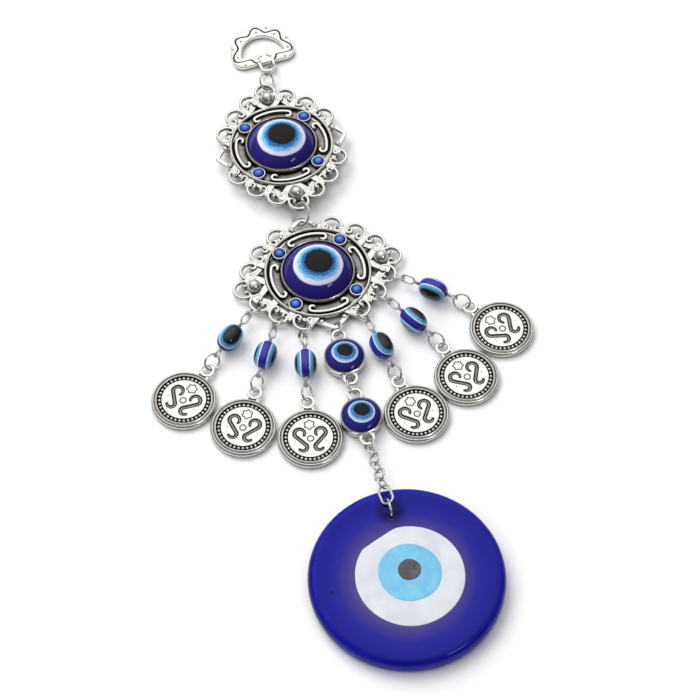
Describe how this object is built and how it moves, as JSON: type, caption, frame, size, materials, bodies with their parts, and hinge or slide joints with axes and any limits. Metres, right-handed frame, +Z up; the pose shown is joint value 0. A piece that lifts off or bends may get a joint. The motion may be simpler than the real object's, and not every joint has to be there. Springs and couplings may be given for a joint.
{
  "type": "evil eye wall ornament",
  "caption": "Hanging wall ornament: openwork silver medallions with glass eyes, bead-and-coin dangles, eye links, a short chain and a round glass eye disc, from a D-shaped hanger.",
  "frame": {"origin": "middle of the bounding box at its base, on the surface the ornament lies on", "axes": "+Y along the ornament towards the hanger, +Z up out of its face, +X to the viewer's right"},
  "size_m": [0.1052, 0.2108, 0.0089],
  "materials": {
    "antique_silver": "antiqued silver plate on a cast alloy, dark in the recesses",
    "wire": "antiqued silver-plated wire",
    "eye_glass": "glossy opaque glass with concentric rings of navy, white, light blue and black",
    "gem_glass": "glossy blue glass",
    "bead_glass": "glossy glass with blue, white and black bands and an eye",
    "cobalt_glass": "polished deep cobalt glass",
    "white_glass": "polished white glass",
    "sky_glass": "polished light blue glass",
    "dark_glass": "polished dark grey glass"
  },
  "bodies": {
    "hanger": {"hanger": "antique_silver"},
    "hanger_ring_b": {"hanger_ring_b": "wire"},
    "hanger_ring_a": {"hanger_ring_a": "wire"},
    "upper_medallion": {"upper_medallion": "antique_silver", "upper_eye": "eye_glass", "upper_gems": "gem_glass"},
    "medallion_ring": {"medallion_ring": "wire"},
    "lower_medallion": {"lower_medallion": "antique_silver", "lower_eye": "eye_glass", "lower_gems": "gem_glass"},
    "top_ring_1": {"top_ring_1": "wire"},
    "eye_pin_1": {"eye_pin_1": "wire"},
    "bead_1": {"bead_1": "bead_glass"},
    "bottom_ring_1": {"bottom_ring_1": "wire"},
    "coin_1": {"coin_1": "antique_silver"},
    "top_ring_2": {"top_ring_2": "wire"},
    "eye_pin_2": {"eye_pin_2": "wire"},
    "bead_2": {"bead_2": "bead_glass"},
    "bottom_ring_2": {"bottom_ring_2": "wire"},
    "coin_2": {"coin_2": "antique_silver"},
    "top_ring_3": {"top_ring_3": "wire"},
    "eye_pin_3": {"eye_pin_3": "wire"},
    "bead_3": {"bead_3": "bead_glass"},
    "bottom_ring_3": {"bottom_ring_3": "wire"},
    "coin_3": {"coin_3": "antique_silver"},
    "top_ring_4": {"top_ring_4": "wire"},
    "eye_pin_4": {"eye_pin_4": "wire"},
    "bead_4": {"bead_4": "bead_glass"},
    "bottom_ring_4": {"bottom_ring_4": "wire"},
    "coin_4": {"coin_4": "antique_silver"},
    "top_ring_5": {"top_ring_5": "wire"},
    "eye_pin_5": {"eye_pin_5": "wire"},
    "bead_5": {"bead_5": "bead_glass"},
    "bottom_ring_5": {"bottom_ring_5": "wire"},
    "coin_5": {"coin_5": "antique_silver"},
    "top_ring_6": {"top_ring_6": "wire"},
    "eye_pin_6": {"eye_pin_6": "wire"},
    "bead_6": {"bead_6": "bead_glass"},
    "bottom_ring_6": {"bottom_ring_6": "wire"},
    "coin_6": {"coin_6": "antique_silver"},
    "drop_ring": {"drop_ring": "wire"},
    "link_ring": {"link_ring": "wire"},
    "link_1": {"link_1_setting": "antique_silver", "link_1_eye": "eye_glass"},
    "link_2": {"link_2_setting": "antique_silver", "link_2_eye": "eye_glass"},
    "chain_ring_1": {"chain_ring_1": "wire"},
    "chain_ring_2": {"chain_ring_2": "wire"},
    "chain_ring_3": {"chain_ring_3": "wire"},
    "chain_ring_4": {"chain_ring_4": "wire"},
    "chain_ring_5": {"chain_ring_5": "wire"},
    "chain_ring_6": {"chain_ring_6": "wire"},
    "oval_ring": {"oval_ring": "wire"},
    "bail_ring": {"bail_ring": "wire"},
    "glass_disc": {"glass_disc": "cobalt_glass", "white_layer": "white_glass", "sky_layer": "sky_glass", "pupil": "dark_glass"}
  },
  "joints": [
    {"name": "hanger_ring_b_hinge", "type": "hinge", "parent": "hanger", "child": "hanger_ring_b", "pos_m": [0.00209, 0.08848, 0.0013], "axis": [0.9367, -0.3502, 0], "range_deg": [-10, 25]},
    {"name": "hanger_ring_a_hinge", "type": "hinge", "parent": "hanger_ring_b", "child": "hanger_ring_a", "pos_m": [0.00094, 0.08541, 0.00342], "axis": [-0.9367, 0.3502, 0], "range_deg": [-25, 25]},
    {"name": "upper_medallion_hinge", "type": "hinge", "parent": "hanger_ring_a", "child": "upper_medallion", "pos_m": [-0.00006, 0.08273, 0.00188], "axis": [0.9367, -0.3502, 0], "range_deg": [-30, 30]},
    {"name": "medallion_ring_hinge", "type": "hinge", "parent": "upper_medallion", "child": "medallion_ring", "pos_m": [-0.00039, 0.03577, 0.00436], "axis": [-0.9957, 0.0924, 0], "range_deg": [-8, 20]},
    {"name": "lower_medallion_hinge", "type": "hinge", "parent": "medallion_ring", "child": "lower_medallion", "pos_m": [-0.00106, 0.03394, 0.00178], "axis": [0.9957, -0.0924, 0], "range_deg": [-12, 15]},
    {"name": "top_ring_1_hinge", "type": "hinge", "parent": "lower_medallion", "child": "top_ring_1", "pos_m": [-0.01978, 0.00762, 0.00185], "axis": [0.6909, -0.723, 0], "range_deg": [-30, 30]},
    {"name": "eye_pin_1_hinge", "type": "hinge", "parent": "top_ring_1", "child": "eye_pin_1", "pos_m": [-0.02197, 0.00553, 0.00315], "axis": [-0.6909, 0.723, 0], "range_deg": [-30, 30]},
    {"name": "bead_1_spin", "type": "hinge", "parent": "eye_pin_1", "child": "bead_1", "pos_m": [-0.02813, -0.00036, 0.00315], "axis": [-0.723, -0.6909, 0], "continuous": true},
    {"name": "bottom_ring_1_hinge", "type": "hinge", "parent": "eye_pin_1", "child": "bottom_ring_1", "pos_m": [-0.03333, -0.00533, 0.00315], "axis": [0.6909, -0.723, 0], "range_deg": [-30, 30]},
    {"name": "coin_1_hinge", "type": "hinge", "parent": "bottom_ring_1", "child": "coin_1", "pos_m": [-0.03488, -0.00681, 0.0015], "axis": [-0.6909, 0.723, 0], "range_deg": [-25, 25]},
    {"name": "top_ring_2_hinge", "type": "hinge", "parent": "lower_medallion", "child": "top_ring_2", "pos_m": [-0.01472, 0.00229, 0.00185], "axis": [-0.8854, 0.4648, 0], "range_deg": [-30, 30]},
    {"name": "eye_pin_2_hinge", "type": "hinge", "parent": "top_ring_2", "child": "eye_pin_2", "pos_m": [-0.01613, -0.00039, 0.00315], "axis": [0.8854, -0.4648, 0], "range_deg": [-30, 30]},
    {"name": "bead_2_spin", "type": "hinge", "parent": "eye_pin_2", "child": "bead_2", "pos_m": [-0.02009, -0.00793, 0.00315], "axis": [-0.4648, -0.8854, 0], "continuous": true},
    {"name": "bottom_ring_2_hinge", "type": "hinge", "parent": "eye_pin_2", "child": "bottom_ring_2", "pos_m": [-0.02344, -0.01431, 0.00315], "axis": [-0.8854, 0.4648, 0], "range_deg": [-30, 30]},
    {"name": "coin_2_hinge", "type": "hinge", "parent": "bottom_ring_2", "child": "coin_2", "pos_m": [-0.02443, -0.0162, 0.0015], "axis": [0.8854, -0.4648, 0], "range_deg": [-25, 25]},
    {"name": "top_ring_3_hinge", "type": "hinge", "parent": "lower_medallion", "child": "top_ring_3", "pos_m": [-0.0081, -0.00167, 0.00185], "axis": [0.9823, -0.1874, 0], "range_deg": [-30, 30]},
    {"name": "eye_pin_3_hinge", "type": "hinge", "parent": "top_ring_3", "child": "eye_pin_3", "pos_m": [-0.00867, -0.00465, 0.00315], "axis": [-0.9823, 0.1874, 0], "range_deg": [-30, 30]},
    {"name": "bead_3_spin", "type": "hinge", "parent": "eye_pin_3", "child": "bead_3", "pos_m": [-0.01026, -0.01302, 0.00315], "axis": [-0.1874, -0.9823, 0], "continuous": true},
    {"name": "bottom_ring_3_hinge", "type": "hinge", "parent": "eye_pin_3", "child": "bottom_ring_3", "pos_m": [-0.01161, -0.02009, 0.00315], "axis": [0.9823, -0.1874, 0], "range_deg": [-30, 30]},
    {"name": "coin_3_hinge", "type": "hinge", "parent": "bottom_ring_3", "child": "coin_3", "pos_m": [-0.01201, -0.02219, 0.0015], "axis": [-0.9823, 0.1874, 0], "range_deg": [-25, 25]},
    {"name": "top_ring_4_hinge", "type": "hinge", "parent": "lower_medallion", "child": "top_ring_4", "pos_m": [0.0086, -0.00104, 0.00185], "axis": [0.9829, 0.184, 0], "range_deg": [-30, 30]},
    {"name": "eye_pin_4_hinge", "type": "hinge", "parent": "top_ring_4", "child": "eye_pin_4", "pos_m": [0.00916, -0.00403, 0.00315], "axis": [-0.9829, -0.184, 0], "range_deg": [-30, 30]},
    {"name": "bead_4_spin", "type": "hinge", "parent": "eye_pin_4", "child": "bead_4", "pos_m": [0.01072, -0.0124, 0.00315], "axis": [0.184, -0.9829, 0], "continuous": true},
    {"name": "bottom_ring_4_hinge", "type": "hinge", "parent": "eye_pin_4", "child": "bottom_ring_4", "pos_m": [0.01205, -0.01947, 0.00315], "axis": [0.9829, 0.184, 0], "range_deg": [-30, 30]},
    {"name": "coin_4_hinge", "type": "hinge", "parent": "bottom_ring_4", "child": "coin_4", "pos_m": [0.01244, -0.02157, 0.0015], "axis": [-0.9829, -0.184, 0], "range_deg": [-25, 25]},
    {"name": "top_ring_5_hinge", "type": "hinge", "parent": "lower_medallion", "child": "top_ring_5", "pos_m": [0.01507, 0.00347, 0.00185], "axis": [-0.8526, -0.5225, 0], "range_deg": [-30, 30]},
    {"name": "eye_pin_5_hinge", "type": "hinge", "parent": "top_ring_5", "child": "eye_pin_5", "pos_m": [0.01666, 0.00089, 0.00315], "axis": [0.8526, 0.5225, 0], "range_deg": [-30, 30]},
    {"name": "bead_5_spin", "type": "hinge", "parent": "eye_pin_5", "child": "bead_5", "pos_m": [0.02111, -0.00638, 0.00315], "axis": [0.5225, -0.8526, 0], "continuous": true},
    {"name": "bottom_ring_5_hinge", "type": "hinge", "parent": "eye_pin_5", "child": "bottom_ring_5", "pos_m": [0.02487, -0.01252, 0.00315], "axis": [-0.8526, -0.5225, 0], "range_deg": [-30, 30]},
    {"name": "coin_5_hinge", "type": "hinge", "parent": "bottom_ring_5", "child": "coin_5", "pos_m": [0.02599, -0.01434, 0.0015], "axis": [0.8526, 0.5225, 0], "range_deg": [-25, 25]},
    {"name": "top_ring_6_hinge", "type": "hinge", "parent": "lower_medallion", "child": "top_ring_6", "pos_m": [0.01973, 0.00923, 0.00185], "axis": [0.6225, 0.7826, 0], "range_deg": [-30, 30]},
    {"name": "eye_pin_6_hinge", "type": "hinge", "parent": "top_ring_6", "child": "eye_pin_6", "pos_m": [0.02211, 0.00734, 0.00315], "axis": [-0.6225, -0.7826, 0], "range_deg": [-30, 30]},
    {"name": "bead_6_spin", "type": "hinge", "parent": "eye_pin_6", "child": "bead_6", "pos_m": [0.02877, 0.00204, 0.00315], "axis": [0.7826, -0.6225, 0], "continuous": true},
    {"name": "bottom_ring_6_hinge", "type": "hinge", "parent": "eye_pin_6", "child": "bottom_ring_6", "pos_m": [0.03441, -0.00244, 0.00315], "axis": [0.6225, 0.7826, 0], "range_deg": [-30, 30]},
    {"name": "coin_6_hinge", "type": "hinge", "parent": "bottom_ring_6", "child": "coin_6", "pos_m": [0.03608, -0.00377, 0.0015], "axis": [-0.6225, -0.7826, 0], "range_deg": [-25, 25]},
    {"name": "drop_ring_hinge", "type": "hinge", "parent": "lower_medallion", "child": "drop_ring", "pos_m": [0.00043, -0.00303, 0.00178], "axis": [-1, 0, 0], "range_deg": [-25, 12]},
    {"name": "link_1_hinge", "type": "hinge", "parent": "drop_ring", "child": "link_1", "pos_m": [0.00043, -0.00448, 0.0023], "axis": [1, 0, 0], "range_deg": [-30, 30]},
    {"name": "link_ring_hinge", "type": "hinge", "parent": "link_1", "child": "link_ring", "pos_m": [0.00043, -0.02148, 0.0023], "axis": [-1, 0, 0], "range_deg": [-30, 30]},
    {"name": "link_2_hinge", "type": "hinge", "parent": "link_ring", "child": "link_2", "pos_m": [0.00043, -0.02338, 0.0023], "axis": [1, 0, 0], "range_deg": [-30, 30]},
    {"name": "chain_ring_1_hinge", "type": "hinge", "parent": "link_2", "child": "chain_ring_1", "pos_m": [0.00043, -0.04038, 0.0023], "axis": [-1, 0, 0], "range_deg": [-30, 30]},
    {"name": "chain_ring_2_hinge", "type": "hinge", "parent": "chain_ring_1", "child": "chain_ring_2", "pos_m": [0.00043, -0.04254, 0.00309], "axis": [1, 0, 0], "range_deg": [-30, 30]},
    {"name": "chain_ring_3_hinge", "type": "hinge", "parent": "chain_ring_2", "child": "chain_ring_3", "pos_m": [0.00043, -0.04522, 0.00371], "axis": [-1, 0, 0], "range_deg": [-30, 30]},
    {"name": "chain_ring_4_hinge", "type": "hinge", "parent": "chain_ring_3", "child": "chain_ring_4", "pos_m": [0.00043, -0.0479, 0.00434], "axis": [1, 0, 0], "range_deg": [-30, 30]},
    {"name": "chain_ring_5_hinge", "type": "hinge", "parent": "chain_ring_4", "child": "chain_ring_5", "pos_m": [0.00043, -0.05058, 0.00496], "axis": [-1, 0, 0], "range_deg": [-30, 30]},
    {"name": "chain_ring_6_hinge", "type": "hinge", "parent": "chain_ring_5", "child": "chain_ring_6", "pos_m": [0.00043, -0.05326, 0.00558], "axis": [1, 0, 0], "range_deg": [-30, 30]},
    {"name": "oval_ring_hinge", "type": "hinge", "parent": "chain_ring_6", "child": "oval_ring", "pos_m": [0.00043, -0.05594, 0.0062], "axis": [-1, 0, 0], "range_deg": [-20, 25]},
    {"name": "bail_ring_hinge", "type": "hinge", "parent": "oval_ring", "child": "bail_ring", "pos_m": [0.00043, -0.06108, 0.00727], "axis": [1, 0, 0], "range_deg": [-25, 3]},
    {"name": "glass_disc_hinge", "type": "hinge", "parent": "bail_ring", "child": "glass_disc", "pos_m": [0.00043, -0.06196, 0.006], "axis": [-1, 0, 0], "range_deg": [-3, 20]}
  ]
}
